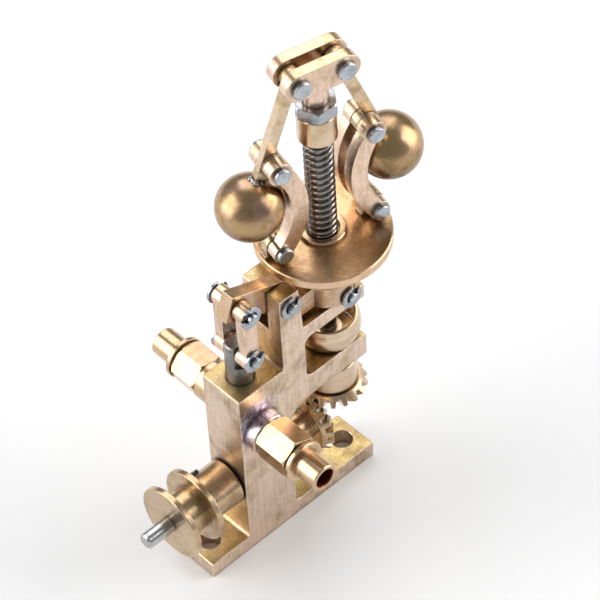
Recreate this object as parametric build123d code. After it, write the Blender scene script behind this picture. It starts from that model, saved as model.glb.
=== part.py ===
from build123d import *
import os
from math import sin, cos, tan, radians, degrees, pi, atan2, hypot, sqrt

# Flyball governor with a built-in plunger valve.
# Frame of the part: origin at the centre of the underside of the base plate.
# +X along the base from the pulley to the spindle, +Z up.
# The dimensions below are measured from the pulley end of the base plate; the whole
# set is moved by X_ORG at the end.

# ---------------------------------------------------------------- frame
L_BASE = 38.6          # length of the base plate
X_ORG = L_BASE / 2
W = 8.94               # width of the whole frame
T_BASE = 3.4           # thickness of the base plate
X_COL_L, X_COL_R = 8.9, 20.0
H_COL = 39.66          # top of the column
X_POST_L, X_POST_R = 19.2, 24.1
H_POST = 56.56         # top of the slotted post
Z_UA0, Z_UA1 = 43.35, 46.45    # upper arm
Z_LA0, Z_LA1 = 28.6, 33.48     # lower arm
X_ARM = 38.1           # right end of both arms
FOOT_X = (X_ORG - 15.93, X_ORG + 15.93)
FOOT_R = 2.0
SLOT_W = 2.76          # slot between the two ears of the post
SLOT_Z = 47.6

# ---------------------------------------------------------------- spindle line
XS = 33.5              # spindle axis
YAW = -13.2            # heading of the crosshead about the spindle at rest
R_SP = 1.5             # spindle radius
CL = 0.05              # running clearance on the radius

# ---------------------------------------------------------------- drive line
Z_DR = 15.6            # drive shaft axis
R_DR = 1.5             # free end of the drive shaft
R_DJ = 1.3             # the rest of it, in the pulley and the bushes
X_STUB = -10.4
X_FL_OUT = -4.7        # outer face of the outer pulley flange
T_FL = 1.15
X_FL_IN = 0.6
R_FL = 7.0
R_GROOVE = 4.15
R_HUB = 4.3

# ---------------------------------------------------------------- valve line
XV = 13.4              # plunger axis
R_PL = 2.45
R_BORE = 2.5
Z_PORT = 29.7          # axis of the front pipe
Z_PORT_B = 31.9        # axis of the back pipe
R_PORT = 1.1
Z_PL_BOT = 24.0
Z_BORE_BOT = 20.5

# ---------------------------------------------------------------- lever
XP, ZP = 21.6, 53.9    # lever pivot
LV_T = 2.5             # lever thickness
XL1, ZL1 = 13.35, 57.6 # upper link pin
ZL2 = 46.6             # lower link pin (on the plunger axis)
XT, ZT = XS, 52.1      # fork tip
Z_TR = 48.45           # trunnions of the collar
TRAVEL = 3.5           # rise of the sleeve
PIN_R = 1.0

# ---------------------------------------------------------------- sleeve
Z_DISC0, Z_DISC1 = 58.2, 60.07
R_DISC = 11.75
Z_HUB0 = 46.95
R_HUBS = 6.2
Z_GR0, Z_GR1 = 50.2, 54.0      # groove of the fork
R_NECK = 3.0
R_SHO = 3.45
R_HUBT = 5.0
R_SEAT = 4.0
Z_SEAT = 60.85

# ---------------------------------------------------------------- head
S_A, Z_A = 4.1, 97.85          # arm pivots
S_M, Z_M = 8.75, 81.1          # mid joints
S_L, Z_L = 9.15, 62.5          # lower joints
S_B, Z_B = 13.1, 73.1          # ball centres
R_BALL = 5.8
ARM_T = 1.9            # thickness of the eyes of an arm
ARM_W, BAR_T = 2.1, 1.4        # width and thickness of its bar
LINK_T = 2.3
LINK_BULGE = 3.4
LINK_HW = 1.55
OPEN_CL = 0.30                 # clearance of the open pivots on the radius


def loc(x, y, z):
    return Location((x, y, z))


def cyl(r, p0, p1):
    """cylinder of radius r from point p0 to p1"""
    a, b = Vector(*p0), Vector(*p1)
    d = b - a
    pl = Plane(origin=a, z_dir=d)
    return extrude(pl * Circle(r), d.length)


def cone(r0, r1, p0, p1):
    a, b = Vector(*p0), Vector(*p1)
    d = b - a
    pl = Plane(origin=a, z_dir=d)
    return loft([pl * Circle(r0), Plane(origin=b, z_dir=d) * Circle(r1)])


def box(x0, x1, y0, y1, z0, z1):
    return loc((x0 + x1) / 2, (y0 + y1) / 2, (z0 + z1) / 2) * Box(x1 - x0, y1 - y0, z1 - z0)


def turned(pts, x=0.0, y=0.0):
    """solid of revolution about the vertical line at x, y from (radius, z) points"""
    face = make_face(Plane.XZ * Polyline(*[(r, z) for r, z in pts], close=True))
    return loc(x, y, 0) * revolve(face, Axis.Z, 360)


def turned_x(pts, y=0.0, z=0.0):
    """solid of revolution about an X-parallel line from (x, radius) points"""
    face = make_face(Plane.XZ * Polyline(*[(a, r) for a, r in pts], close=True))
    return loc(0, y, z) * revolve(face, Axis.X, 360)


def turned_y(pts, x=0.0, z=0.0):
    """solid of revolution about a Y-parallel line from (y, radius) points"""
    face = make_face(Plane.XY * Polyline(*[(r, a) for a, r in pts], close=True))
    return loc(x, 0, z) * revolve(face, Axis.Y, 360)


def plate_y(profile_pts, y0, y1):
    """prism along Y from (x, z) points"""
    face = make_face(Plane.XZ * Polyline(*profile_pts, close=True))
    s = extrude(face, abs(y1 - y0), dir=(0, 1, 0))
    return loc(0, min(y0, y1), 0) * s


def one(s):
    """the single solid of a result, or the group of its solids"""
    sol = s.solids()
    return sol[0] if len(sol) == 1 else Compound(children=list(sol))


os.makedirs("parts", exist_ok=True)
PARTS = {}


def put(name, shape):
    PARTS[name] = shape


# retaining clip: flat spring ring with a mouth and three inner teeth, on a pin along d
CLIP_RO, CLIP_RI, CLIP_T = 2.15, 1.22, 0.42


def e_clip(p, d, turn):
    """p: centre of the inner face, d: direction away from the part, turn: mouth heading"""
    pl = Plane(origin=Vector(*p), z_dir=Vector(*d), x_dir=(cos(radians(turn)), 0, sin(radians(turn))))
    ring = pl * (Circle(CLIP_RO) - Circle(CLIP_RI))
    mouth = pl * loc(1.5, 0, 0) * Rectangle(3.0, 1.5)
    s = extrude(ring - mouth, CLIP_T)
    for a in (75, 180, 285):
        t = pl * Rot(0, 0, a) * loc((CLIP_RI + 0.82) / 2 + 0.06, 0, 0) * Rectangle(CLIP_RI - 0.82 + 0.12, 0.62)
        s = s + extrude(t, CLIP_T)
    return one(s)


def clip_pin(x, z, y_half):
    """pin along Y with a groove and a chamfered nose past each clip"""
    g = y_half
    pts = []
    e = g + CLIP_T + 0.75
    for a, r in ((-e, 0), (-e, PIN_R - 0.15), (-e + 0.15, PIN_R), (-g - CLIP_T - 0.05, PIN_R),
                 (-g - CLIP_T - 0.05, 0.76), (-g + 0.05, 0.76), (-g + 0.05, PIN_R),
                 (g - 0.05, PIN_R), (g - 0.05, 0.76), (g + CLIP_T + 0.05, 0.76),
                 (g + CLIP_T + 0.05, PIN_R), (e - 0.15, PIN_R), (e, PIN_R - 0.15), (e, 0)):
        pts.append((a, r))
    return turned_y(pts, x, z)


# ================================================================ frame
prof = [(0, 0), (L_BASE, 0), (L_BASE, T_BASE), (X_COL_R, T_BASE), (X_COL_R, 26.2), (22.6, Z_LA0), (X_ARM, Z_LA0),
        (X_ARM, Z_LA1), (X_POST_R + 0.15, Z_LA1), (X_POST_R + 0.1, Z_UA0), (X_ARM, Z_UA0), (X_ARM, Z_UA1),
        (X_POST_R, Z_UA1), (X_POST_R - 0.6, H_POST), (X_POST_L, H_POST), (X_POST_L, H_COL), (X_COL_L, H_COL),
        (X_COL_L, T_BASE), (0, T_BASE)]
frame = plate_y(prof, -W / 2, W / 2)


def yedges(s, pts, tol=0.3):
    out = []
    for e in s.edges().filter_by(Axis.Y):
        c = e.center()
        if any(hypot(c.X - x, c.Z - z) < tol for x, z in pts):
            out.append(e)
    return out


frame = fillet(yedges(frame, [(X_COL_R, T_BASE), (X_COL_L, T_BASE)]), 0.9)
frame = fillet(yedges(frame, [(22.6, Z_LA0), (X_COL_R, 26.2)]), 1.8)
frame = fillet(yedges(frame, [(X_POST_R + 0.1, Z_UA0), (X_POST_R + 0.15, Z_LA1)]), 1.5)
frame = fillet(yedges(frame, [(X_POST_R, Z_UA1), (X_POST_L, H_COL)]), 0.6)
frame = chamfer(yedges(frame, [(X_COL_L, H_COL), (X_POST_L, H_POST), (X_POST_R - 0.6, H_POST), (X_ARM, Z_UA0),
                               (X_ARM, Z_UA1), (X_ARM, Z_LA0), (X_ARM, Z_LA1), (0, T_BASE), (L_BASE, T_BASE),
                               (0, 0), (L_BASE, 0)]), 0.18)
frame = frame - box(X_POST_L - 1, X_POST_R + 1, -SLOT_W / 2, SLOT_W / 2, SLOT_Z, H_POST + 1)
for fx in FOOT_X:
    frame = frame - cyl(FOOT_R, (fx, 0, -1), (fx, 0, T_BASE + 1))
frame = frame - cyl(R_BORE, (XV, 0, Z_BORE_BOT), (XV, 0, H_COL + 1))
UB_R = 3.9             # union body spigot in the column
frame = frame - cyl(R_PORT, (XV, -W, Z_PORT), (XV, 0, Z_PORT)) - cyl(R_PORT, (XV, 0, Z_PORT_B), (XV, W, Z_PORT_B))
for sy, zp in ((-1, Z_PORT), (1, Z_PORT_B)):
    frame = frame - cyl(UB_R, (XV, sy * (W / 2 - 1.4), zp), (XV, sy * (W / 2 + 1), zp))
frame = frame - cyl(2.4, (X_COL_L - 1, 0, Z_DR), (X_COL_R + 1, 0, Z_DR))
frame = frame - cyl(2.6, (XS, 0, Z_UA0 - 1), (XS, 0, Z_UA1 + 1))
frame = frame - cyl(2.6, (XS, 0, Z_LA0 - 1), (XS, 0, Z_LA1 + 1))
frame = frame - cyl(PIN_R, (XP, -W, ZP), (XP, W, ZP))
put("frame", one(frame))

# upper bearing bush
ub = cyl(2.6, (XS, 0, Z_UA0), (XS, 0, Z_UA1)) - cyl(R_SP + CL, (XS, 0, Z_UA0 - 1), (XS, 0, Z_UA1 + 1))
put("upper_bush", one(ub))

# lower bearing bush: boss with a rim under the lower arm
R_BOSS = 4.75
Z_BOSS0 = 23.0
lb = turned([(R_SP + CL, Z_BOSS0), (R_BOSS - 0.15, Z_BOSS0), (R_BOSS, Z_BOSS0 + 0.15), (R_BOSS, Z_LA0 - 0.15),
             (R_BOSS - 0.15, Z_LA0), (2.6, Z_LA0), (2.6, Z_LA1), (R_SP + CL, Z_LA1)], XS)
put("lower_bush", one(lb))

# drive shaft bushes
put("shaft_bush_left", one(cyl(2.4, (X_COL_L, 0, Z_DR), (13.0, 0, Z_DR)) - cyl(R_DJ + CL, (8, 0, Z_DR), (14, 0, Z_DR))))
X_RB = 23.2
srb = turned_x([(15.4, R_DJ + CL), (15.4, 2.4), (X_COL_R, 2.4), (X_COL_R, 3.0), (X_RB - 0.15, 3.0), (X_RB, 2.85),
                (X_RB, R_DJ + CL)], 0, Z_DR)
put("shaft_bush_right", one(srb))

# ================================================================ pipe unions
HEX_AF = 7.1
R_PIPE, R_PIPE_IN = 2.62, 1.85
R_TAP = 2.9                 # screwed spigot inside the nut
# side: sign, axis height, start and end of the nut, end of the collar, tip, turn of the hexagon
UNIONS = {"front": (-1, Z_PORT, 6.9, 13.9, 15.2, 20.1, 97.7), "back": (1, Z_PORT_B, 8.3, 14.1, 15.4, 20.4, 110.0)}
for nm, (sy, zp, Y_N0, Y_N1, Y_C1, Y_TIP, turn) in UNIONS.items():
    ybody = [(W / 2 - 1.4, 1.6), (W / 2 - 1.4, UB_R), (Y_N0 - 0.2, UB_R), (Y_N0, UB_R - 0.2), (Y_N0, R_TAP), (Y_N1 - 0.6, R_TAP),
             (Y_N1 - 0.6, 1.6)]
    put("union_body_" + nm, one(turned_y([(sy * a, r) for a, r in ybody], XV, zp)))
    rc = HEX_AF / sqrt(3)
    hexp = [(XV + rc * cos(radians(turn + 60 * k)), zp + rc * sin(radians(turn + 60 * k))) for k in range(6)]
    hexs = plate_y(hexp, sy * Y_N0, sy * Y_N1)
    ch = [(Y_N0, 0), (Y_N0, rc - 0.42), (Y_N0 + 0.42, rc + 0.02), (Y_N1 - 0.42, rc + 0.02), (Y_N1, rc - 0.42), (Y_N1, 0)]
    nut = hexs & turned_y([(sy * a, r) for a, r in ch], XV, zp)
    nut = nut - cyl(R_TAP, (XV, sy * (Y_N0 - 1), zp), (XV, sy * (Y_N1 - 0.6), zp))
    nut = nut - cyl(R_PIPE, (XV, sy * (Y_N0 - 1), zp), (XV, sy * (Y_N1 + 1), zp))
    put("union_nut_" + nm, one(nut))
    tail = [(Y_N1 - 0.6, R_PIPE_IN), (Y_N1 - 0.6, R_PIPE), (Y_N1, R_PIPE), (Y_N1, 3.3), (Y_N1 + 0.4, 3.3), (Y_N1 + 0.4, 3.75), (Y_N1 + 0.55, 3.9),
            (Y_C1 - 0.15, 3.9), (Y_C1, 3.75), (Y_C1, R_PIPE), (Y_TIP - 0.2, R_PIPE), (Y_TIP, R_PIPE - 0.2), (Y_TIP, R_PIPE_IN + 0.1),
            (Y_TIP - 0.1, R_PIPE_IN)]
    put("pipe_tail_" + nm, one(turned_y([(sy * a, r) for a, r in tail], XV, zp)))

# ================================================================ plunger, links, lever
Z_PT = ZL2 + 2.2
pl_ = cyl(R_PL, (XV, 0, Z_PL_BOT), (XV, 0, Z_PT))
pl_ = chamfer(pl_.edges().filter_by(GeomType.CIRCLE).sort_by(Axis.Z)[-1], 0.25)
Z_FLAT = ZL2 - 2.75
for sy in (-1, 1):
    y0, y1 = sorted((sy * LV_T / 2, sy * 4))
    pl_ = pl_ - box(XV - 4, XV + 4, y0, y1, Z_FLAT, Z_PT + 1)
# waist of the plunger at the pipe passage
pl_ = pl_ - turned([(1.35, Z_PORT - 1.5), (3, Z_PORT - 1.5), (3, Z_PORT_B + 1.14), (1.35, Z_PORT_B + 1.14)], XV)
pl_ = pl_ - cyl(PIN_R + 0.14, (XV, -4, ZL2), (XV, 4, ZL2))
put("plunger", one(pl_))

LK_T = 2.45            # thickness of a link plate
LK_Y0 = LV_T / 2 + 0.12
LK_Y1 = LK_Y0 + LK_T
LK_R1, LK_R2 = 1.8, 2.1        # radius of the upper and the lower eye
LK_W = 2.8             # width of the waist
LK_REC = 0.4           # the waist is thinner than the eyes on its inner side
for sy, nm in ((-1, "front"), (1, "back")):
    y0, y1 = sorted((sy * LK_Y0, sy * LK_Y1))
    dx, dz = XV - XL1, ZL2 - ZL1
    ln = hypot(dx, dz)
    s = cyl(LK_R1, (XL1, y0, ZL1), (XL1, y1, ZL1)) + cyl(LK_R2, (XV, y0, ZL2), (XV, y1, ZL2))
    nx, nz = -dz / ln * LK_W / 2, dx / ln * LK_W / 2
    w0, w1 = sorted((sy * (LK_Y0 + LK_REC), sy * LK_Y1))
    s = s + plate_y([(XL1 - nx, ZL1 - nz), (XL1 + nx, ZL1 + nz), (XV + nx, ZL2 + nz), (XV - nx, ZL2 - nz)], w0, w1)
    s = s - cyl(PIN_R + 0.05, (XL1, -6, ZL1), (XL1, 6, ZL1)) - cyl(PIN_R, (XV, -6, ZL2), (XV, 6, ZL2))
    put("link_" + nm, one(s))
put("link_pin_upper", one(clip_pin(XL1, ZL1, LK_Y1 + 0.05)))
put("link_pin_lower", one(clip_pin(XV, ZL2, LK_Y1 + 0.05)))

# lever: bar on the left of the pivot, fork on the right
al = atan2(ZL1 - ZP, XP - XL1)       # slope of the bar
H_BAR = 5.2
ux, uz = -cos(al), sin(al)           # along the bar, away from the pivot
vx, vz = sin(al), cos(al)            # across the bar, upwards


def bar(a, b):
    return (XP + ux * a + vx * b, ZP + uz * a + vz * b)


LB = hypot(XP - XL1, ZL1 - ZP)
lv = plate_y([bar(-1.0, 2.9), bar(LB + 2.4, 2.6), bar(LB + 2.2, -2.5), bar(1.0, -2.9)], -LV_T / 2, LV_T / 2)
lv = lv + cyl(3.0, (XP, -LV_T / 2, ZP), (XP, LV_T / 2, ZP))
# neck to the fork
tx, tz = XT - XP, ZT - ZP
tl = hypot(tx, tz)
wx, wz = tx / tl, tz / tl
qx, qz = -wz, wx


def arm_pt(a, b):
    return (XP + wx * a + qx * b, ZP + wz * a + qz * b)


FK_H = 1.05            # half height of the neck
X_YK1 = 5.3
lv = lv + plate_y([arm_pt(0, 2.0), arm_pt(X_YK1, FK_H + 0.1), arm_pt(X_YK1, -FK_H - 0.1), arm_pt(0, -2.2)], -LV_T / 2, LV_T / 2)
# yoke: half ring round the collar, joined to the neck by a block, with a slotted lug for
# each trunnion: as the collar rises, each trunnion comes nearer to the pivot
R_YK, R_YI = 6.2, 4.75 # outer and inner radius of the yoke
Z_YB, Z_YT = 47.25, 52.0
TR_R = 0.9             # journal of a trunnion
TR_CL = 0.12
t_d0 = hypot(XS - XP, ZP - Z_TR)
t_d1 = hypot(XS - XP, ZP - Z_TR - TRAVEL)
t_ux, t_uz = (XP - XS) / t_d0, (ZP - Z_TR) / t_d0
XQ, ZQ = XS + t_ux * (t_d0 - t_d1), Z_TR + t_uz * (t_d0 - t_d1)
LUG_R = TR_R + TR_CL + 0.6
yk = turned([(0, Z_YB), (R_YK - 0.15, Z_YB), (R_YK, Z_YB + 0.15), (R_YK, Z_YT - 0.15), (R_YK - 0.15, Z_YT), (0, Z_YT)], XS)
yk = yk - box(XS + 1.2, XS + 8, -8, 8, Z_YB - 1, Z_YT + 1)
yk = yk + box(25.0, XS - 3, -3.0, 3.0, Z_YB + 0.3, Z_YT)
yk = yk + plate_y([(25.0, Z_YT - 0.5), (28.2, Z_YT - 0.5), (28.2, Z_YT), (arm_pt(X_YK1, 0)[0] + 0.2, ZP - 0.1), (25.0, ZP)], -LV_T / 2, LV_T / 2)
for sy in (-1, 1):
    y0, y1 = sorted((sy * (R_YI - 0.3), sy * R_YK))
    ex, ez = t_uz * LUG_R, -t_ux * LUG_R
    yk = yk + cyl(LUG_R, (XS, y0, Z_TR), (XS, y1, Z_TR))
    yk = yk + plate_y([(XS + ex, Z_TR + ez), (XQ + ex, ZQ + ez), (XQ - ex, ZQ - ez), (XS - ex, Z_TR - ez)], y0, y1)
yk = yk - cyl(R_YI, (XS, 0, 40), (XS, 0, 60)) - cyl(R_YI, (XS - 1.15, 0, 40), (XS - 1.15, 0, 60))
yk = yk - box(XS - 1.15, XS, -R_YI, R_YI, 40, 60)
for sy in (-1, 1):
    y0, y1 = sorted((sy * 3.5, sy * 7))
    fx_, fz_ = t_uz * (TR_R + TR_CL), -t_ux * (TR_R + TR_CL)
    yk = yk - cyl(TR_R + TR_CL, (XS, y0, Z_TR), (XS, y1, Z_TR)) - cyl(TR_R + TR_CL, (XQ, y0, ZQ), (XQ, y1, ZQ))
    yk = yk - plate_y([(XS + fx_, Z_TR + fz_), (XQ + fx_, ZQ + fz_), (XQ - fx_, ZQ - fz_), (XS - fx_, Z_TR - fz_)], y0 - 0.01, y1 + 0.01)
lv = lv + yk
lv = lv - cyl(PIN_R + 0.05, (XP, -8, ZP), (XP, 8, ZP)) - cyl(PIN_R, (XL1, -8, ZL1), (XL1, 8, ZL1))
put("lever", one(lv))
put("lever_pivot_pin", one(clip_pin(XP, ZP, W / 2)))

put("e_clips_frame", Compound(children=[
    e_clip((XP, -W / 2, ZP), (0, -1, 0), 55), e_clip((XP, W / 2, ZP), (0, 1, 0), 110)]))
YC = LK_Y1 + 0.05
put("e_clips_upper", Compound(children=[e_clip((XL1, -YC, ZL1), (0, -1, 0), 150), e_clip((XL1, YC, ZL1), (0, 1, 0), 60)]))
put("e_clips_lower", Compound(children=[e_clip((XV, -YC, ZL2), (0, -1, 0), 38), e_clip((XV, YC, ZL2), (0, 1, 0), 112)]))

# ================================================================ drive
X_DR1 = 29.3
sh = turned_x([(X_STUB, 0), (X_STUB, R_DR - 0.3), (X_STUB + 0.3, R_DR), (X_FL_OUT, R_DR), (X_FL_OUT, R_DJ),
               (X_DR1 - 0.3, R_DJ), (X_DR1, R_DJ - 0.3), (X_DR1, 0)], 0, Z_DR)
put("drive_shaft", one(sh))
XO = X_FL_OUT
pu = turned_x([(XO, R_DJ), (XO, R_FL - 0.15), (XO + 0.15, R_FL), (XO + T_FL - 0.15, R_FL), (XO + T_FL, R_FL - 0.15), (XO + T_FL, R_GROOVE),
               (X_FL_IN, R_GROOVE), (X_FL_IN, R_FL - 0.15), (X_FL_IN + 0.15, R_FL), (X_FL_IN + T_FL - 0.15, R_FL),
               (X_FL_IN + T_FL, R_FL - 0.15), (X_FL_IN + T_FL, R_HUB), (8.6 - 0.2, R_HUB), (8.6, R_HUB - 0.2), (8.6, R_DJ)], 0, Z_DR)
GR_X, GR_A = 4.0, 52           # place and heading of the grub screw
gy, gz = sin(radians(GR_A)), cos(radians(GR_A))
gs0, gs1 = 1.5, 4.75
pu = pu - cyl(1.0, (GR_X, 0, Z_DR), (GR_X, gy * 6, Z_DR + gz * 6))
put("pulley", one(pu))
gs = cyl(1.0, (GR_X, gy * gs0, Z_DR + gz * gs0), (GR_X, gy * gs1, Z_DR + gz * gs1))
gs = gs & (cyl(20, (-20, 0, Z_DR), (30, 0, Z_DR)) - cyl(R_DJ, (-20, 0, Z_DR), (30, 0, Z_DR)))
slot_pl = Plane(origin=(GR_X, gy * gs1, Z_DR + gz * gs1), z_dir=(0, gy, gz), x_dir=(1, 0, 0))
gs = gs - extrude(slot_pl * Rectangle(3, 0.35), -0.55)
put("grub_screw", one(gs))

# mitre gears: pitch cones of 45 degrees that share the point (XS, 0, Z_DR)
N_T = 18
RP = 6.0               # pitch radius at the large end
ADD, DED = 0.62, 0.72
FACE_W = 2.5


def mitre(n, phase):
    """gear with its apex at the origin, opening upwards; large end at z = RP"""
    k = sqrt(0.5)
    f = FACE_W * k
    # blank up to the tips
    ro, zo = RP + ADD * k, RP - ADD * k
    sc = (RP - f) / RP
    ri, zi = ro * sc, zo * sc
    rr, zr = RP - DED * k, RP + DED * k
    z_back = RP + 1.25
    blank = make_face(Plane.XZ * Polyline((0, zi), (ri, zi), (ro, zo), (rr - 0.25, z_back), (0, z_back), close=True))
    g = revolve(blank, Axis.Z, 360)
    cuts = []
    # gap: a wedge loft between the small and the large end
    hw_t = 0.392 * 2 * pi * RP / n     # half width of the gap at the tips (large end)
    hw_r = 0.168 * 2 * pi * RP / n
    for i in range(n):
        a = degrees(2 * pi * (i + phase) / n)
        secs = []
        for s in (1.12, sc * 0.9):
            rt, zt = (ro + 0.35) * s, (zo - 0.35) * s
            rb, zb = rr * s, zr * s
            pln = Plane(origin=(rb, 0, zb), z_dir=(k, 0, k), x_dir=(0, 1, 0))
            d = hypot(rt - rb, zt - zb)
            # direction from root to tip in plane coordinates
            sg = pln.to_local_coords(Vector(rt, 0, zt))
            up = 1 if sg.Y > 0 else -1
            secs.append(pln * make_face(Polyline((-hw_r * s, 0), (hw_r * s, 0), (hw_t * s * 1.15, up * d), (-hw_t * s * 1.15, up * d), close=True)))
        cuts.append(Rot(0, 0, a) * loft(secs))
    g = g - cuts
    return g


crown = loc(XS, 0, Z_DR) * mitre(N_T, 0.0)
crown = crown + cyl(3.6, (XS, 0, Z_DR + RP + 1.2), (XS, 0, Z_BOSS0 - 0.15))
crown = crown - cyl(R_SP, (XS, 0, 0), (XS, 0, 60))
put("crown_gear", one(crown))
pin_g = Rot(0, -90, 0) * mitre(N_T, 0.5)
pin_g = loc(XS, 0, Z_DR) * pin_g
pin_g = pin_g + cyl(2.9, (X_RB + 0.15, 0, Z_DR), (XS - RP - 1.2, 0, Z_DR))
pin_g = pin_g - cyl(R_DJ, (0, 0, Z_DR), (60, 0, Z_DR))
put("pinion", one(pin_g))

# ================================================================ spindle and what turns with it
Z_SP0, Z_SP1 = 19.4, 92.0
sp = turned([(0, Z_SP0), (R_SP - 0.2, Z_SP0), (R_SP, Z_SP0 + 0.2), (R_SP, Z_SP1), (0, Z_SP1)], XS)
put("spindle", one(sp))

# oil cup: ball turned hollow, open at the top, that rests on the lower arm
R_CUP = 5.75
Z_CUPC = 37.3
Z_CUP0, Z_CUP1 = 33.6, 39.6
cup = loc(XS, 0, Z_CUPC) * Sphere(R_CUP)
cup = cup & box(XS - 8, XS + 8, -8, 8, Z_CUP0, Z_CUP1)
hol = (loc(XS, 0, Z_CUPC) * Sphere(R_CUP - 0.4)) & box(XS - 8, XS + 8, -8, 8, Z_CUP0 + 1.3, 60)
cup = cup - hol
cup = cup + cyl(2.4, (XS, 0, Z_CUP0 + 0.4), (XS, 0, Z_CUP0 + 2.2))
cup = cup - cyl(R_SP, (XS, 0, 20), (XS, 0, 60))
put("oil_cup", one(cup))

ROTOR = Location((XS, 0, 0)) * Location((0, 0, 0), (0, 0, YAW))     # head frame: x along the crosshead


def hd(s):
    return ROTOR * s


# crosshead
CH_R = 2.7
CH_T = 6.2
CH_SLOT = 2.1
c = box(-S_A, S_A, -CH_T / 2, CH_T / 2, Z_A - CH_R, Z_A + CH_R)
for sg in (-1, 1):
    c = c + cyl(CH_R, (sg * S_A, -CH_T / 2, Z_A), (sg * S_A, CH_T / 2, Z_A))
c = c - box(-9, 9, -CH_SLOT / 2, CH_SLOT / 2, Z_A - 0.9, Z_A + 4)
for sg in (-1, 1):
    x0, x1 = sorted((sg * 1.5, sg * 9))
    c = c - box(x0, x1, -CH_SLOT / 2, CH_SLOT / 2, Z_A - 4, Z_A + 4)
    c = c - cyl(0.95, (sg * S_A, -4, Z_A), (sg * S_A, 4, Z_A))
Z_ST0 = 90.75
c = c + cyl(2.2, (0, 0, Z_ST0), (0, 0, Z_A - CH_R + 0.4))
c = c - cyl(R_SP, (0, 0, 80), (0, 0, Z_SP1))
put("crosshead", hd(one(c)))
cps = []
for sg in (-1, 1):
    p = cyl(0.95, (sg * S_A, -CH_T / 2, Z_A), (sg * S_A, CH_T / 2, Z_A))
    for sy in (-1, 1):
        y0, y1 = sorted((sy * CH_T / 2, sy * (CH_T / 2 + 0.9)))
        h = cyl(1.65, (sg * S_A, y0, Z_A), (sg * S_A, y1, Z_A))
        h = chamfer(h.edges().filter_by(GeomType.CIRCLE).sort_by(Axis.Y)[0 if sy < 0 else -1], 0.15)
        p = p + h
    cps.append(one(p))
put("crosshead_pins", hd(Compound(children=cps)))

# lock nut and adjusting sleeve
Z_NUT0, Z_NUT1 = 88.35, 90.75
AF_NUT = 6.5
nutb = extrude(Plane(origin=(0, 0, Z_NUT0)) * Rot(0, 0, 8) * RegularPolygon(AF_NUT / 2, 6, major_radius=False), Z_NUT1 - Z_NUT0)
rc = AF_NUT / sqrt(3)
nutb = nutb & turned([(0, Z_NUT0), (rc - 0.35, Z_NUT0), (rc + 0.02, Z_NUT0 + 0.3), (rc + 0.02, Z_NUT1 - 0.3), (rc - 0.35, Z_NUT1), (0, Z_NUT1)])
nutb = nutb - cyl(R_SP, (0, 0, 80), (0, 0, 100))
put("lock_nut", hd(one(nutb)))
Z_AS0 = 82.6
R_AS = 3.35
asl = turned([(R_SP, Z_AS0), (R_AS - 0.3, Z_AS0), (R_AS, Z_AS0 + 0.3), (R_AS, Z_NUT0 - 0.2), (R_AS - 0.2, Z_NUT0), (R_SP, Z_NUT0)])
put("adjusting_sleeve", hd(one(asl)))

# ================================================================ sleeve hub, disc, lugs, spring
hub = turned([(R_SP + CL, Z_HUB0), (R_NECK, Z_HUB0), (R_NECK, Z_GR0 + 0.15), (R_SHO, Z_GR0 + 0.15), (R_SHO, Z_GR1 + 0.6),
              (R_HUBT - 0.15, Z_GR1 + 0.6), (R_HUBT, Z_GR1 + 0.75), (R_HUBT, Z_DISC0),
              (R_SEAT, Z_DISC0), (R_SEAT, Z_SEAT - 0.15), (R_SEAT - 0.15, Z_SEAT), (2.95, Z_SEAT), (2.95, Z_DISC1), (R_SP + CL, Z_DISC1)], XS)
put("sleeve_hub", one(hub))
# ring on the neck under the collar
put("collar_retainer", one(turned([(R_NECK, Z_HUB0), (3.5, Z_HUB0), (3.5, Z_HUB0 + 0.6), (R_NECK, Z_HUB0 + 0.6)], XS)))
# collar that does not turn, between the retaining ring and the shoulder of the hub
R_COL = 4.3
col = turned([(3.65, Z_HUB0), (R_COL - 0.2, Z_HUB0), (R_COL, Z_HUB0 + 0.2), (R_COL, Z_GR0 - 0.2), (R_COL - 0.2, Z_GR0),
              (R_NECK + 0.1, Z_GR0), (R_NECK + 0.1, Z_HUB0 + 0.7), (3.65, Z_HUB0 + 0.7)], XS)
for sy in (-1, 1):
    col = col - cyl(0.6, (XS, sy * 3.0, Z_TR), (XS, sy * 5, Z_TR))
put("collar", one(col))
cp = []
g = R_YK + 0.05
e = g + CLIP_T + 0.5
for sy in (-1, 1):
    pts = [(3.3, 0), (3.3, 0.6), (R_COL, 0.6), (R_COL, TR_R), (g - 0.05, TR_R), (g - 0.05, 0.76), (g + CLIP_T + 0.05, 0.76),
           (g + CLIP_T + 0.05, TR_R), (e - 0.15, TR_R), (e, TR_R - 0.15), (e, 0)]
    cp.append(turned_y([(sy * a, r) for a, r in pts], XS, Z_TR))
put("collar_pins", Compound(children=cp))
put("e_clips_collar", Compound(children=[e_clip((XS, -g, Z_TR), (0, -1, 0), 60), e_clip((XS, g, Z_TR), (0, 1, 0), 100)]))
disc = turned([(R_SEAT, Z_DISC0), (R_DISC - 0.18, Z_DISC0), (R_DISC, Z_DISC0 + 0.18), (R_DISC, Z_DISC1 - 0.18), (R_DISC - 0.18, Z_DISC1), (R_SEAT, Z_DISC1)], XS)
put("disc", one(disc))
LUG_T = 1.9
HOLE_DX, HOLE_DZ = 0.047, -0.238      # centre of the hole from the pin at rest
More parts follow.
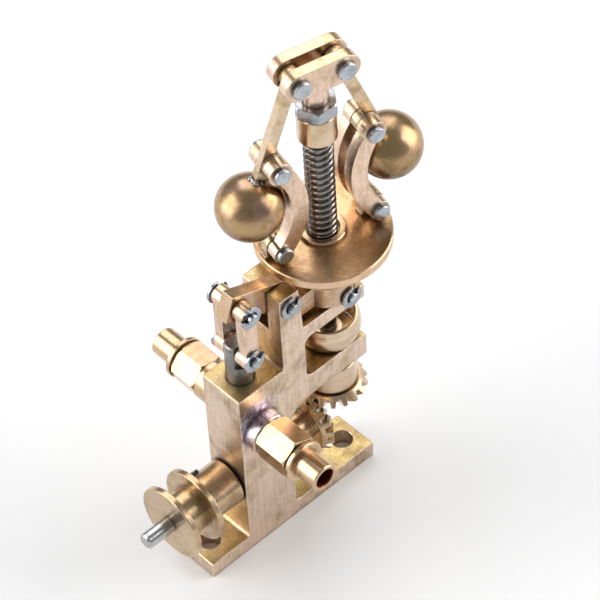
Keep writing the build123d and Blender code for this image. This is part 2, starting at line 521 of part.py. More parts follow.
for sg, nm in ((-1, "left"), (1, "right")):
    lug = box(sg * S_L - 2.3, sg * S_L + 2.3, -LUG_T / 2, LUG_T / 2, Z_DISC1, Z_L)
    lug = lug + cyl(2.0, (sg * S_L, -LUG_T / 2, Z_L), (sg * S_L, LUG_T / 2, Z_L))
    lug = lug - box(sg * S_L - 2.4, sg * S_L - 1.95, -2, 2, Z_DISC1 + 0.7, Z_L + 3) - box(sg * S_L + 1.95, sg * S_L + 2.4, -2, 2, Z_DISC1 + 0.7, Z_L + 3)
    lug = lug - cyl(0.9 + OPEN_CL, (sg * (S_L + HOLE_DX), -4, Z_L + HOLE_DZ), (sg * (S_L + HOLE_DX), 4, Z_L + HOLE_DZ))
    put("disc_lug_" + nm, hd(one(lug)))

# spring: closed flat at both ends
SPR_R, SPR_D = 2.2, 0.72
Z_S0, Z_S1 = Z_DISC1 + 0.02, Z_AS0 - 0.02
turns = 15
pitch = (Z_S1 - Z_S0 - SPR_D) / turns
hel = Helix(pitch=pitch, height=Z_S1 - Z_S0 - SPR_D, radius=SPR_R, center=(0, 0, Z_S0 + SPR_D / 2))
wire_sec = Plane(origin=hel @ 0, z_dir=hel % 0) * Circle(SPR_D / 2)
spr = sweep(wire_sec, path=hel, is_frenet=True)
put("spring", loc(XS, 0, 0) * one(spr))

# ================================================================ arms, balls, links of the head
for sg, nm in ((-1, "left"), (1, "right")):
    A = (sg * S_A, Z_A)
    M = (sg * S_M, Z_M)
    B = (sg * S_B, Z_B)
    # arm: straight flat bar from the crosshead to the ball, with an eye at its side for the mid joint
    dl = hypot(B[0] - A[0], B[1] - A[1])
    dx, dz = (B[0] - A[0]) / dl, (B[1] - A[1]) / dl
    nx, nz = -dz * ARM_W / 2, dx * ARM_W / 2
    e = (B[0] - dx * (R_BALL - 1.6), B[1] - dz * (R_BALL - 1.6))
    a = plate_y([(A[0] - nx, A[1] - nz), (A[0] + nx, A[1] + nz), (e[0] + nx, e[1] + nz), (e[0] - nx, e[1] - nz)], -BAR_T / 2, BAR_T / 2)
    a = a + cyl(1.8, (A[0], -ARM_T / 2, A[1]), (A[0], ARM_T / 2, A[1]))
    a = a + cyl(2.1, (M[0], -ARM_T / 2, M[1]), (M[0], ARM_T / 2, M[1]))
    a = a - cyl(0.95 + CL, (A[0], -4, A[1]), (A[0], 4, A[1])) - cyl(0.95, (M[0], -4, M[1]), (M[0], 4, M[1]))
    ball = loc(B[0], 0, B[1]) * Sphere(R_BALL)
    ball = ball - a
    put("arm_" + nm, hd(one(a)))
    put("ball_" + nm, hd(one(ball)))
    # curved links, front and back
    Lp = (sg * S_L, Z_L)
    ax, az = M
    bx, bz = Lp
    chord = hypot(bx - ax, bz - az)
    mx, mz = (ax + bx) / 2 - sg * LINK_BULGE, (az + bz) / 2
    R = (chord ** 2 / 4 + LINK_BULGE ** 2) / (2 * LINK_BULGE)
    for sy, side in ((-1, "front"), (1, "back")):
        y0, y1 = sorted((sy * (ARM_T / 2 + 0.12), sy * (ARM_T / 2 + 0.12 + LINK_T)))
        path = ThreePointArc((ax, 0, az), (mx, 0, mz), (bx, 0, bz))
        pts = [path @ (i / 24) for i in range(25)]
        tg = [path % (i / 24) for i in range(25)]
        hw = LINK_HW
        lft = [(p.X - t.Z * hw, p.Z + t.X * hw) for p, t in zip(pts, tg)]
        rgt = [(p.X + t.Z * hw, p.Z - t.X * hw) for p, t in zip(pts, tg)]
        w1 = Plane.XZ * ThreePointArc(lft[0], lft[12], lft[24])
        w2 = Plane.XZ * ThreePointArc(rgt[0], rgt[12], rgt[24])
        l1 = Plane.XZ * Line(lft[0], rgt[0])
        l2 = Plane.XZ * Line(lft[24], rgt[24])
        f = make_face([w1, l2, w2, l1])
        s = extrude(f, y1 - y0, dir=(0, 1, 0))
        s = loc(0, y0, 0) * s
        s = s + cyl(2.15, (ax, y0, az), (ax, y1, az)) + cyl(1.85, (bx, y0, bz), (bx, y1, bz))
        s = s - cyl(0.95 + CL, (ax, -9, az), (ax, 9, az)) - cyl(0.9, (bx, -9, bz), (bx, 9, bz))
        put("curved_link_%s_%s" % (nm, side), hd(one(s)))
    yo = ARM_T / 2 + 0.12 + LINK_T
    for pn, (px, pz), r in (("mid_pin_", M, 0.95), ("lower_pin_", Lp, 0.9)):
        p = cyl(r, (px, -yo - 0.05, pz), (px, yo + 0.05, pz))
        for sy in (-1, 1):
            y0, y1 = sorted((sy * (yo + 0.05), sy * (yo + 0.95)))
            if pn == "lower_pin_":
                y0, y1 = sorted((sy * yo, sy * (yo + 0.9)))
            h = cyl(1.5, (px, y0, pz), (px, y1, pz))
            h = chamfer(h.edges().filter_by(GeomType.CIRCLE).sort_by(Axis.Y)[0 if sy < 0 else -1], 0.15)
            p = p + h
        put(pn + nm, hd(one(p)))

for name, shape in PARTS.items():
    export_step(Location((-X_ORG, 0, 0)) * shape, "parts/" + name + ".step")
print(len(PARTS), "nodes")
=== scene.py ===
import bpy
import bmesh
import math
import random
from mathutils import Matrix, Vector


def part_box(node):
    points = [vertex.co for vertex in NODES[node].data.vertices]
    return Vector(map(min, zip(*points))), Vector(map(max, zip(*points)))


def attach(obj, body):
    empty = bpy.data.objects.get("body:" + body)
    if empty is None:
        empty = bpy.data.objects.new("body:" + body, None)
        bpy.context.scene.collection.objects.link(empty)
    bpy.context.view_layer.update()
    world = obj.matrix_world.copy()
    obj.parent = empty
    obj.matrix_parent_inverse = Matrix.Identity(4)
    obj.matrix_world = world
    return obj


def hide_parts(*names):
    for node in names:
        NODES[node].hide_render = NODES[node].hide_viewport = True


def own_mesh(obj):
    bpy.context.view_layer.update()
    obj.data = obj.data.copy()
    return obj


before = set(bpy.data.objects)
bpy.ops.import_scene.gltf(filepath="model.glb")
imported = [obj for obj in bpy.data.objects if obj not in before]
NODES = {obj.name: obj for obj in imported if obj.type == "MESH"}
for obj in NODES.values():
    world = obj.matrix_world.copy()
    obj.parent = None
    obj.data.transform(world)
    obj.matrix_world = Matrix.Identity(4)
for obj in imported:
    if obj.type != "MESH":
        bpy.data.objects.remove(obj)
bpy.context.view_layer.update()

MM = 0.001
OX = 19.3                      # the base's left end lies this far left of the origin, in mm


def P(x, y, z):
    """a point given in mm from the left end of the base"""
    return Vector(((x - OX) * MM, y * MM, z * MM))


# ------------------------------------------------------------------ node helpers
class Mat:
    def __init__(self, name):
        self.m = bpy.data.materials.new(name)
        self.m.use_nodes = True
        self.nt = self.m.node_tree
        self.nt.nodes.clear()
        self.out = self.nt.nodes.new("ShaderNodeOutputMaterial")
        self.b = self.nt.nodes.new("ShaderNodeBsdfPrincipled")
        self.nt.links.new(self.b.outputs[0], self.out.inputs[0])
        self.tc = self.nt.nodes.new("ShaderNodeTexCoord")

    def n(self, kind, **kw):
        nd = self.nt.nodes.new(kind)
        for k, v in kw.items():
            setattr(nd, k, v)
        return nd

    def link(self, a, b):
        self.nt.links.new(a, b)

    def put(self, sock, v):
        if isinstance(v, bpy.types.NodeSocket):
            self.link(v, sock)
        else:
            sock.default_value = v

    def math(self, op, a, b=None, c=None, clamp=False):
        nd = self.n("ShaderNodeMath", operation=op, use_clamp=clamp)
        self.put(nd.inputs[0], a)
        if b is not None:
            self.put(nd.inputs[1], b)
        if c is not None:
            self.put(nd.inputs[2], c)
        return nd.outputs[0]

    def vmath(self, op, a, b=None, scale=None):
        nd = self.n("ShaderNodeVectorMath", operation=op)
        self.put(nd.inputs[0], a)
        if b is not None:
            self.put(nd.inputs[1], b)
        if scale is not None:
            self.put(nd.inputs["Scale"], scale)
        return nd.outputs["Value"] if op in ("LENGTH", "DOT_PRODUCT", "DISTANCE") else nd.outputs[0]

    def mapped(self, src, scale=(1, 1, 1), loc=(0, 0, 0), rot=(0, 0, 0)):
        nd = self.n("ShaderNodeMapping")
        self.link(src, nd.inputs[0])
        nd.inputs["Location"].default_value = loc
        nd.inputs["Rotation"].default_value = rot
        nd.inputs["Scale"].default_value = scale
        return nd.outputs[0]

    def noise(self, vec, scale=1.0, detail=3.0, rough=0.5, dist=0.0, color=False):
        nd = self.n("ShaderNodeTexNoise")
        self.link(vec, nd.inputs["Vector"])
        nd.inputs["Scale"].default_value = scale
        nd.inputs["Detail"].default_value = detail
        nd.inputs["Roughness"].default_value = rough
        nd.inputs["Distortion"].default_value = dist
        return nd.outputs["Color" if color else "Fac"]

    def voronoi(self, vec, scale=1.0, feature="F1", rnd=1.0):
        nd = self.n("ShaderNodeTexVoronoi", feature=feature)
        self.link(vec, nd.inputs["Vector"])
        nd.inputs["Scale"].default_value = scale
        nd.inputs["Randomness"].default_value = rnd
        return nd.outputs["Distance"], (nd.outputs["Color"] if "Color" in nd.outputs else None)

    def ramp(self, fac, *stops, interp="LINEAR"):
        nd = self.n("ShaderNodeValToRGB")
        self.link(fac, nd.inputs[0])
        cr = nd.color_ramp
        cr.interpolation = interp
        while len(cr.elements) < len(stops):
            cr.elements.new(0.5)
        for e, (p, c) in zip(cr.elements, stops):
            e.position = p
            e.color = (c, c, c, 1) if isinstance(c, (int, float)) else (*c, 1)
        return nd.outputs[0]

    def rng(self, v, a, b, c, d):
        """value v from a..b to c..d, held at the ends"""
        nd = self.n("ShaderNodeMapRange", clamp=True)
        self.put(nd.inputs[0], v)
        for i, x in enumerate((a, b, c, d)):
            nd.inputs[i + 1].default_value = x
        return nd.outputs[0]

    def mix(self, fac, a, b, mode="MIX"):
        nd = self.n("ShaderNodeMix", data_type="RGBA", blend_type=mode)
        self.put(nd.inputs[0], fac)
        for sock, v in ((nd.inputs[6], a), (nd.inputs[7], b)):
            if isinstance(v, bpy.types.NodeSocket):
                self.link(v, sock)
            else:
                sock.default_value = (*v, 1)
        return nd.outputs[2]

    def sep(self, vec):
        nd = self.n("ShaderNodeSeparateXYZ")
        self.link(vec, nd.inputs[0])
        return nd.outputs

    def comb(self, x, y, z):
        nd = self.n("ShaderNodeCombineXYZ")
        for s, v in zip(nd.inputs, (x, y, z)):
            self.put(s, v)
        return nd.outputs[0]

    def bump(self, height, dist, strength=1.0, normal=None):
        nd = self.n("ShaderNodeBump")
        self.link(height, nd.inputs["Height"])
        nd.inputs["Distance"].default_value = dist
        nd.inputs["Strength"].default_value = strength
        if normal is not None:
            self.link(normal, nd.inputs["Normal"])
        return nd.outputs[0]

    def edge(self, radius=0.00025, lo=0.985, hi=0.80):
        """mask of the painted highlight: 1 on sharp edges, 0 on flat ground"""
        bv = self.n("ShaderNodeBevel", samples=4)
        bv.inputs["Radius"].default_value = radius
        geo = self.n("ShaderNodeNewGeometry")
        d = self.vmath("DOT_PRODUCT", bv.outputs[0], geo.outputs["Normal"])
        return self.rng(d, hi, lo, 1.0, 0.0), bv.outputs[0]

    def painted_crevice_shade(self, dist=0.0009, lo=0.30, hi=0.92):
        """mask of the painted shade: 1 in narrow gaps and inner corners, 0 on open ground"""
        ao = self.n("ShaderNodeAmbientOcclusion", samples=6)
        ao.inputs["Distance"].default_value = dist
        return self.rng(ao.outputs["AO"], lo, hi, 1.0, 0.0)

    def set(self, **kw):
        for k, v in kw.items():
            self.put(self.b.inputs[k], v)


def C(r, g, b):
    """sRGB 0..255 to linear"""
    return tuple(((x / 255) / 12.92 if x / 255 < 0.04045 else (((x / 255) + 0.055) / 1.055) ** 2.4) for x in (r, g, b))


# ------------------------------------------------------------------ materials
def brass(name, pink, yellow, dark, rough=0.30, streak=None, top_painted_shade=0.55, mottle=0.5, speck=0.25, edge_painted_highlight=0.5,
          lathe=None, bump=0.00003, seed=0.0, stain=False, edge_r=0.00022, under_painted_shade=0.0):
    m = Mat(name)
    obj = m.tc.outputs["Object"]
    nrm = m.sep(m.tc.outputs["Normal"])
    vec = m.mapped(obj, loc=(seed, seed * 0.7, -seed))
    big = m.noise(vec, 90, 5, 0.6, 0.6)
    mid = m.noise(vec, 420, 6, 0.65)
    fine = m.noise(vec, 2600, 4, 0.6)
    # painted shade: pinkish on the sides, yellower and darker on what faces up, where the tops reflect the dark room;
    # random mottle is mixed in
    up = m.rng(nrm[2], 0.35, 0.85, 0.0, 1.0)
    up_shade_and_mottle = m.math("MULTIPLY", up, top_painted_shade)
    up_shade_and_mottle = m.math("ADD", up_shade_and_mottle, m.math("MULTIPLY", m.rng(big, 0.42, 0.66, 0.0, 1.0), mottle * 0.6), clamp=True)
    col = m.mix(up_shade_and_mottle, pink, yellow)
    # greenish yellow and rosy clouds of old polish
    cloud = m.noise(m.mapped(obj, loc=(seed + 2.0, 0.3, seed)), 210, 5, 0.7, 0.8)
    col = m.mix(m.rng(cloud, 0.50, 0.64, 0.0, 0.55 * mottle + 0.12), col, C(176, 158, 98))
    col = m.mix(m.rng(cloud, 0.48, 0.36, 0.0, 0.45 * mottle + 0.10), col, C(214, 180, 176))
    # darker cloudy patches
    patch = m.rng(m.math("ADD", m.math("MULTIPLY", big, 0.55), m.math("MULTIPLY", mid, 0.45)), 0.49, 0.63, 0.0, 1.0)
    col = m.mix(m.math("MULTIPLY", patch, mottle * 1.15, clamp=True), col, dark)
    if under_painted_shade:                      # painted shade: darker and browner where it faces down
        col = m.mix(m.rng(nrm[2], 0.05, -0.75, 0.0, under_painted_shade), col, tuple(x * 0.55 for x in dark))
    r = m.rng(mid, 0.3, 0.7, rough * 0.75, rough * 1.35)
    h = m.math("MULTIPLY", fine, 0.5)
    if streak:                     # fine lines left by the cutter, stretched along one axis
        sv = m.mapped(obj, scale=streak)
        st = m.noise(sv, 1.0, 5, 0.7)
        col = m.mix(m.rng(st, 0.45, 0.75, 0.0, 0.30), col, dark)
        col = m.mix(m.rng(st, 0.50, 0.28, 0.0, 0.25), col, tuple(min(1, c * 1.25 + 0.03) for c in pink))
        r = m.math("ADD", r, m.rng(st, 0.3, 0.7, -0.05, 0.08))
        h = m.math("ADD", h, m.math("MULTIPLY", st, 0.8))
    if lathe:                      # turning marks about an axis: (axis letter, centre, lines per metre)
        ax, ctr, lines, axial = lathe
        p = m.sep(m.mapped(obj, loc=tuple(-c for c in ctr)))
        i, j = {"X": (1, 2), "Y": (0, 2), "Z": (0, 1)}[ax]
        k = {"X": 0, "Y": 1, "Z": 2}[ax]
        rad = m.math("SQRT", m.math("ADD", m.math("MULTIPLY", p[i], p[i]), m.math("MULTIPLY", p[j], p[j])))
        along = m.math("ADD", m.math("MULTIPLY", rad, 1.0), m.math("MULTIPLY", p[k], 0.93 if axial else 0.0))
        # rings change slowly round the axis
        wob = m.math("MULTIPLY", m.noise(m.mapped(obj, loc=(seed, 0, 0)), 160, 2, 0.5), 0.00012)
        rv = m.comb(m.math("MULTIPLY", m.math("ADD", along, wob), lines), 0.0, seed)
        ring = m.noise(rv, 1.0, 6, 0.72)
        col = m.mix(m.rng(ring, 0.48, 0.74, 0.0, 0.35), col, dark)
        col = m.mix(m.rng(ring, 0.50, 0.30, 0.0, 0.30), col, tuple(min(1, c * 1.2 + 0.03) for c in pink))
        r = m.math("ADD", r, m.rng(ring, 0.3, 0.7, -0.05, 0.07))
        h = m.math("ADD", h, m.math("MULTIPLY", ring, 1.3))
    # small pits and specks
    d, c = m.voronoi(vec, 760)
    pit = m.rng(d, 0.05, 0.13, 1.0, 0.0)
    keep = m.rng(m.noise(vec, 300, 2, 0.5), 0.56, 0.62, 0.0, 1.0)
    pit = m.math("MULTIPLY", pit, keep)
    col = m.mix(m.math("MULTIPLY", pit, speck * 2.2, clamp=True), col, tuple(x * 0.25 for x in dark))
    h = m.math("SUBTRACT", h, m.math("MULTIPLY", pit, 1.2 * speck))
    if stain:
        col, r = stain(m, obj, nrm, col, r)
    # painted shade: darken the colour in narrow gaps and inner corners
    crevice_shade = m.painted_crevice_shade()
    col = m.mix(m.math("MULTIPLY", crevice_shade, 0.75), col, tuple(x * 0.16 for x in dark))
    r = m.math("ADD", r, m.math("MULTIPLY", crevice_shade, 0.15))
    # painted highlight: lighten the colour along sharp edges
    em, bev = m.edge(edge_r)
    col = m.mix(m.math("MULTIPLY", em, edge_painted_highlight), col, tuple(min(1, c * 1.15 + 0.10) for c in pink))
    r = m.math("ADD", r, m.math("MULTIPLY", em, -0.06))
    m.set(**{"Base Color": col, "Metallic": 1.0, "Roughness": r, "Normal": m.bump(h, bump, 0.55, bev)})
    return m.m


def steel(name, base, dark, rough=0.2, mottle=0.3, lines=None, bump=0.00002, seed=0.0, edge_r=0.0002, edge_painted_highlight=0.4):
    m = Mat(name)
    obj = m.tc.outputs["Object"]
    vec = m.mapped(obj, loc=(seed, -seed, seed * 0.5))
    mid = m.noise(vec, 900, 5, 0.65)
    fine = m.noise(vec, 4200, 3, 0.6)
    big = m.noise(vec, 260, 3, 0.5, 0.4)
    col = m.mix(m.rng(mid, 0.45, 0.72, 0.0, mottle), base, dark)
    col = m.mix(m.rng(big, 0.45, 0.7, 0.0, mottle * 0.7), col, tuple(x * 0.8 for x in dark))
    r = m.rng(mid, 0.3, 0.7, rough * 0.7, rough * 1.4)
    h = m.math("MULTIPLY", fine, 0.6)
    if lines:
        st = m.noise(m.mapped(obj, scale=lines), 1.0, 5, 0.7)
        r = m.math("ADD", r, m.rng(st, 0.3, 0.7, -0.04, 0.08))
        h = m.math("ADD", h, st)
        col = m.mix(m.rng(st, 0.5, 0.75, 0.0, 0.35), col, dark)
    # painted shade: darken the colour in narrow gaps and inner corners
    crevice_shade = m.painted_crevice_shade(0.0006)
    col = m.mix(m.math("MULTIPLY", crevice_shade, 0.85), col, tuple(x * 0.10 for x in dark))
    # painted highlight: lighten the colour along sharp edges
    em, bev = m.edge(edge_r)
    col = m.mix(m.math("MULTIPLY", em, edge_painted_highlight), col, tuple(min(1, x * 1.2 + 0.1) for x in base))
    m.set(**{"Base Color": col, "Metallic": 1.0, "Roughness": r, "Normal": m.bump(h, bump, 0.5, bev)})
    return m.m


PINK = C(232, 208, 188)
YELL = C(190, 166, 108)
DARK = C(122, 92, 62)


def heat_stain(m, obj, nrm, col, r):
    """purple and white heat tint round the front union, on the front face"""
    c = P(13.4, 0, 29.7)
    p = m.sep(m.mapped(obj, loc=(-c.x, 0, -c.z)))
    rad = m.math("SQRT", m.math("ADD", m.math("MULTIPLY", p[0], p[0]), m.math("MULTIPLY", p[2], p[2])))
    n1 = m.noise(obj, 380, 4, 0.6, 0.5)
    rr = m.math("ADD", rad, m.math("MULTIPLY", m.math("SUBTRACT", n1, 0.5), 0.005))
    ring = m.ramp(m.math("MULTIPLY", rr, 100.0), (0.0, 0.0), (0.36, 1.0), (0.62, 1.0), (0.80, 0.0))
    side = m.rng(m.math("ADD", m.math("MULTIPLY", p[0], -0.7), m.math("MULTIPLY", p[2], 0.75)), -0.0005, 0.0035, 0.0, 1.0)
    front = m.rng(nrm[1], -0.9, -0.6, 1.0, 0.0)
    f = m.math("MULTIPLY", m.math("MULTIPLY", ring, side), front)
    n2 = m.noise(obj, 900, 4, 0.6, 0.3)
    tint = m.mix(m.rng(n2, 0.40, 0.60, 0.0, 1.0), C(140, 112, 132), C(232, 226, 236))
    return m.mix(m.math("MULTIPLY", f, 0.95), col, tint), m.math("ADD", r, m.math("MULTIPLY", f, 0.12))


def union_stain(m, obj, nrm, col, r):
    """copper-brown bore of the pipes, purple and white heat tint on the short brazed body at the column"""
    p = m.sep(obj)
    c = P(13.4, 0, 0)
    fro = m.math("LESS_THAN", p[1], 0.0)
    zc = m.math("ADD", 0.0319, m.math("MULTIPLY", fro, -0.0022))
    dx, dz = m.math("SUBTRACT", p[0], c.x), m.math("SUBTRACT", p[2], zc)
    rad = m.math("SQRT", m.math("ADD", m.math("MULTIPLY", dx, dx), m.math("MULTIPLY", dz, dz)))
    n1 = m.noise(obj, 700, 5, 0.65, 0.4)
    inner = m.rng(rad, 0.00195, 0.00205, 1.0, 0.0)
    col = m.mix(inner, col, m.mix(n1, C(120, 52, 28), C(176, 96, 58)))
    r = m.math("ADD", r, m.math("MULTIPLY", inner, 0.25))
    ay = m.math("MULTIPLY", m.math("ABSOLUTE", p[1]), 1000.0)
    n2 = m.noise(obj, 420, 4, 0.6, 0.6)
    near = m.rng(m.math("ADD", ay, m.math("MULTIPLY", m.math("SUBTRACT", n2, 0.5), 2.2)), 6.4, 7.3, 1.0, 0.0)
    near = m.math("MULTIPLY", near, fro)
    tint = m.mix(m.rng(n1, 0.42, 0.60, 0.0, 1.0), C(136, 110, 132), C(226, 220, 230))
    col = m.mix(m.math("MULTIPLY", near, 0.8), col, tint)
    return col, m.math("ADD", r, m.math("MULTIPLY", near, 0.10))


M_FRAME = brass("brass_frame", PINK, YELL, DARK, rough=0.30, streak=(2600, 2600, 150), top_painted_shade=0.85, mottle=0.45, speck=0.45,
                edge_painted_highlight=0.75, stain=heat_stain, edge_r=0.0003)
M_BAR = brass("brass_bar", C(220, 198, 170), C(198, 172, 120), DARK, rough=0.24, streak=(900, 900, 900), top_painted_shade=0.5, mottle=0.45,
              speck=0.2, edge_painted_highlight=0.6, seed=0.31)
M_LEVER = brass("brass_lever", C(206, 176, 150), C(214, 184, 142), DARK, rough=0.22, streak=(260, 2400, 2400), top_painted_shade=0.45, mottle=0.3,
                speck=0.2, edge_painted_highlight=0.7, seed=0.17)
M_TURN = brass("brass_turned_z", C(222, 198, 172), C(206, 174, 126), DARK, rough=0.17, top_painted_shade=0.4, mottle=0.3, speck=0.15, edge_painted_highlight=0.5,
               lathe=("Z", tuple(P(33.5, 0, 0)), 7000, True), seed=0.5)
M_DISC = brass("brass_disc", C(230, 196, 162), C(212, 168, 116), DARK, rough=0.26, top_painted_shade=0.6, mottle=0.35, speck=0.35, edge_painted_highlight=0.8,
               lathe=("Z", tuple(P(33.5, 0, 0)), 6000, True), seed=0.9)
M_TURNX = brass("brass_turned_x", C(206, 180, 148), C(200, 168, 120), DARK, rough=0.17, top_painted_shade=0.25, mottle=0.5, speck=0.15, edge_painted_highlight=0.6,
                lathe=("X", tuple(P(0, 0, 15.6)), 7000, True), seed=0.7)
M_UNION = brass("brass_union", C(216, 186, 152), C(204, 166, 118), DARK, rough=0.17, top_painted_shade=0.3, mottle=0.25, speck=0.12, edge_painted_highlight=0.6,
                lathe=("Y", tuple(P(13.4, 0, 29.7)), 6500, True), seed=0.2, stain=union_stain)
M_BALL = brass("brass_ball", C(180, 149, 112), C(164, 134, 92), C(88, 66, 44), rough=0.27, top_painted_shade=0.2, mottle=0.55, speck=0.3, edge_painted_highlight=0.2,
               seed=1.3, bump=0.00004, under_painted_shade=0.88)
M_PIN = steel("steel_pin", C(186, 192, 198), C(120, 124, 130), rough=0.20, mottle=0.5, seed=0.4)
M_CLIP = steel("steel_clip", C(180, 184, 190), C(96, 98, 104), rough=0.20, mottle=0.4, seed=0.8)
M_SHAFT = steel("steel_shaft", C(196, 196, 196), C(112, 112, 114), rough=0.15, mottle=0.4, lines=(3000, 200, 200), seed=0.6)
M_PLUNGER = steel("steel_plunger", C(150, 148, 146), C(92, 92, 96), rough=0.3, mottle=0.5, lines=(3000, 3000, 200), seed=0.1)
M_NUT = steel("steel_nut", C(176, 178, 182), C(70, 70, 72), rough=0.15, mottle=0.3, seed=0.9)
M_SPRING = steel("steel_spring", C(172, 166, 160), C(58, 54, 52), rough=0.13, mottle=0.4, seed=0.3)
M_GRUB = steel("steel_grub", C(120, 120, 124), C(60, 60, 64), rough=0.25, mottle=0.4, seed=0.35)

M_HEAD = brass("brass_head", C(234, 206, 184), C(226, 192, 142), DARK, rough=0.24, streak=(1500, 1500, 260), top_painted_shade=0.5, mottle=0.3,
               speck=0.25, edge_painted_highlight=0.7, seed=0.63)

LOOK = {
    "crosshead": M_HEAD, "curved_link_left_front": M_HEAD, "curved_link_right_front": M_HEAD, "curved_link_left_back": M_HEAD,
    "curved_link_right_back": M_HEAD, "link_front": M_HEAD, "link_back": M_HEAD,
    "frame": M_FRAME,
    "lever": M_LEVER,
    "disc": M_DISC,
    "spring": M_SPRING, "plunger": M_PLUNGER, "lock_nut": M_NUT, "grub_screw": M_GRUB, "spindle": M_SHAFT, "drive_shaft": M_SHAFT,
    "ball_left": M_BALL, "ball_right": M_BALL,
    "pulley": M_TURNX, "pinion": M_TURNX, "shaft_bush_left": M_TURNX, "shaft_bush_right": M_TURNX,
}
for nm in ("union_body", "union_nut", "pipe_tail"):
    for sd in ("front", "back"):
        LOOK[nm + "_" + sd] = M_UNION
for nm in NODES:
    if nm in LOOK:
        continue
    if nm.startswith("e_clips"):
        LOOK[nm] = M_CLIP
    elif "pin" in nm and nm != "pinion" and nm != "spindle":
        LOOK[nm] = M_PIN
    elif nm in ("crown_gear", "oil_cup", "adjusting_sleeve", "sleeve_hub", "collar", "collar_retainer", "upper_bush", "lower_bush"):
        LOOK[nm] = M_TURN
    else:
        LOOK[nm] = M_BAR

for nm, ob in NODES.items():
    me = ob.data
    me.materials.clear()
    me.materials.append(LOOK[nm])

# ------------------------------------------------------------------ solder where the left arm enters its ball
def corners(ob):
    v = [ob.matrix_world @ Vector(c) for c in ob.bound_box]
    return Vector([min(p[i] for p in v) for i in range(3)]), Vector([max(p[i] for p in v) for i in range(3)])


M_SOLDER = steel("solder", C(186, 184, 180), C(96, 92, 88), rough=0.32, mottle=0.6, seed=0.77)
b0, b1 = corners(NODES["ball_left"])
ball_c, ball_r = (b0 + b1) / 2, (b1.z - b0.z) / 2
axis_p = P(33.5, 0, 97.85)
head = Vector((ball_c.x - axis_p.x, ball_c.y - axis_p.y, 0)).normalized()
joint_p = axis_p + head * (4.1 * MM)
along = (joint_p - ball_c).normalized()
across = Vector((-head.y, head.x, 0))
third = along.cross(across)
rnd = random.Random(7)
bm = bmesh.new()
for k in range(9):
    ang = k / 9 * 2 * math.pi
    rad = (0.95 + 0.45 * rnd.random()) * MM
    size = (0.34 + 0.26 * rnd.random()) * MM
    at = ball_c + along * math.sqrt(ball_r ** 2 - rad ** 2) * 0.995 + across * math.cos(ang) * rad * 0.85 + third * math.sin(ang) * rad * 1.15
    res = bmesh.ops.create_icosphere(bm, subdivisions=3, radius=size)
    for v in res["verts"]:
        w = 1 + 0.18 * math.sin(v.co.x * 9000 + k) * math.cos(v.co.y * 8000 - k)
        v.co = at + v.co * w
me = bpy.data.meshes.new("solder_blob")
bm.to_mesh(me)
bm.free()
for f in me.polygons:
    f.use_smooth = True
blob = bpy.data.objects.new("solder_blob", me)
bpy.context.scene.collection.objects.link(blob)
me.materials.append(M_SOLDER)
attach(blob, "arm_left")

# ------------------------------------------------------------------ coil spring, closed and ground flat at both ends
s_lo, s_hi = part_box("spring")
SPR_R, WIRE = 2.2 * MM, 0.36 * MM
CLOSED, ACTIVE = 1.25, 14.5        # turns lying shut at each end, and free turns between them
TURNS = CLOSED * 2 + ACTIVE
shut = 1.98 * WIRE                 # rise of a shut turn
z_a, z_b = s_lo.z + 0.35 * WIRE, s_hi.z - 0.35 * WIRE
free = (z_b - z_a - 2 * CLOSED * shut) / ACTIVE
axis_xy = P(33.5, 0, 0)


def ease(t):
    """rise after t turns: shut at the ends, with a short change of pitch"""
    soft = 0.5
    lo_t, hi_t = CLOSED, TURNS - CLOSED
    def ramp(v):
        if v <= -soft:
            return 0.0
        if v >= soft:
            return v
        return (v + soft) ** 2 / (4 * soft)
    return t * shut + (free - shut) * (ramp(t - lo_t) - ramp(t - hi_t))


SEG, SIDE = 56, 16
bm = bmesh.new()
rings = []
count = int(TURNS * SEG)
for i in range(count + 1):
    t = TURNS * i / count
    ang = 2 * math.pi * t + 0.6
    d = 0.001
    slope = (ease(min(t + d, TURNS)) - ease(max(t - d, 0))) / (min(t + d, TURNS) - max(t - d, 0)) / (2 * math.pi * SPR_R)
    out = Vector((math.cos(ang), math.sin(ang), 0))
    tan = Vector((-math.sin(ang), math.cos(ang), slope)).normalized()
    nor = out.cross(tan).normalized()
    c = Vector((axis_xy.x, axis_xy.y, z_a + ease(t))) + out * SPR_R
    ring = []
    for j in range(SIDE):
        b = 2 * math.pi * j / SIDE
        q = c + out * (WIRE * math.cos(b)) + nor * (WIRE * math.sin(b))
        q.z = min(max(q.z, s_lo.z), s_hi.z)
        ring.append(bm.verts.new(q))
    rings.append(ring)
for a, b in zip(rings, rings[1:]):
    for j in range(SIDE):
        k = (j + 1) % SIDE
        bm.faces.new((a[j], a[k], b[k], b[j]))
bm.faces.new(rings[0][::-1])
bm.faces.new(rings[-1])
bmesh.ops.recalc_face_normals(bm, faces=bm.faces)
me = bpy.data.meshes.new("spring_coil")
bm.to_mesh(me)
bm.free()
for f in me.polygons:
    f.use_smooth = len(f.vertices) == 4
coil = bpy.data.objects.new("spring_coil", me)
bpy.context.scene.collection.objects.link(coil)
me.materials.append(M_SPRING)
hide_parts("spring")
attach(coil, "sleeve")
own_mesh(coil)

# ------------------------------------------------------------------ floor, light, camera
bpy.ops.mesh.primitive_plane_add(size=6.0, location=(0, 0, 0))
floor = bpy.context.object
floor.name = "floor"
fm = Mat("floor_pale")
fm.set(**{"Base Color": (0.92, 0.92, 0.915, 1), "Roughness": 0.75})
floor.data.materials.append(fm.m)


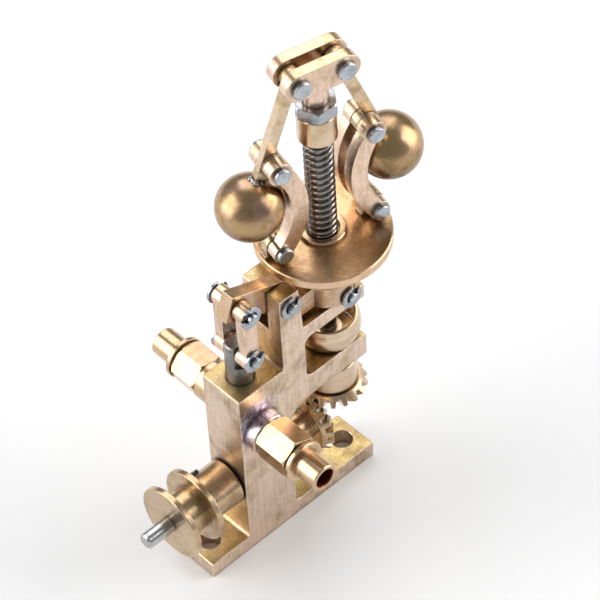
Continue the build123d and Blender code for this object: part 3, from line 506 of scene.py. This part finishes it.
def area(name, loc, target, size, power, color=(1, 1, 1), size_y=None):
    ld = bpy.data.lights.new(name, "AREA")
    ld.energy = power
    ld.color = color
    ld.shape = "RECTANGLE"
    ld.size = size
    ld.size_y = size_y or size
    ob = bpy.data.objects.new(name, ld)
    bpy.context.scene.collection.objects.link(ob)
    ob.location = loc
    d = Vector(target) - Vector(loc)
    ob.rotation_mode = "QUATERNION"
    ob.rotation_quaternion = d.to_track_quat("-Z", "Y")
    return ob


T = (0, 0, 0.05)
area("soft_left", (-0.95, 0.60, 0.55), T, 1.1, 14.0, size_y=1.2)
area("soft_right", (1.00, -0.70, 0.55), T, 1.1, 14.0, size_y=1.2)
area("soft_top", (0.50, 0.60, 1.05), T, 1.0, 6.0)

world = bpy.data.worlds.new("studio")
bpy.context.scene.world = world
world.use_nodes = True
wn = world.node_tree
wn.nodes.clear()
wo = wn.nodes.new("ShaderNodeOutputWorld")
wb = wn.nodes.new("ShaderNodeBackground")
wb.inputs[0].default_value = (0.96, 0.97, 1.0, 1)
wb.inputs[1].default_value = 0.34
wn.links.new(wb.outputs[0], wo.inputs[0])

# camera solved from the picture's own lines
az, el, roll = math.radians(-40.42), math.radians(48.66), math.radians(-3.73)
fwd = Vector((-math.sin(az) * math.cos(el), math.cos(az) * math.cos(el), -math.sin(el)))
right = Vector((math.cos(az), math.sin(az), 0))
upv = right.cross(fwd)
r2 = math.cos(roll) * right + math.sin(roll) * upv
u2 = -math.sin(roll) * right + math.cos(roll) * upv
cam_d = bpy.data.cameras.new("camera")
cam_d.lens = 202.9
cam_d.sensor_width = 36.0
cam_d.clip_start = 0.01
cam_d.clip_end = 50.0
cam = bpy.data.objects.new("camera", cam_d)
bpy.context.scene.collection.objects.link(cam)
back = -fwd
cam.matrix_world = Matrix(((r2.x, u2.x, back.x, (-215.17 - OX) * MM), (r2.y, u2.y, back.y, -285.03 * MM),
                           (r2.z, u2.z, back.z, 472.75 * MM), (0, 0, 0, 1)))
sc = bpy.context.scene
sc.camera = cam
sc.view_settings.view_transform = "Standard"
sc.view_settings.look = "None"
sc.view_settings.exposure = 0.0
sc.view_settings.gamma = 1.0
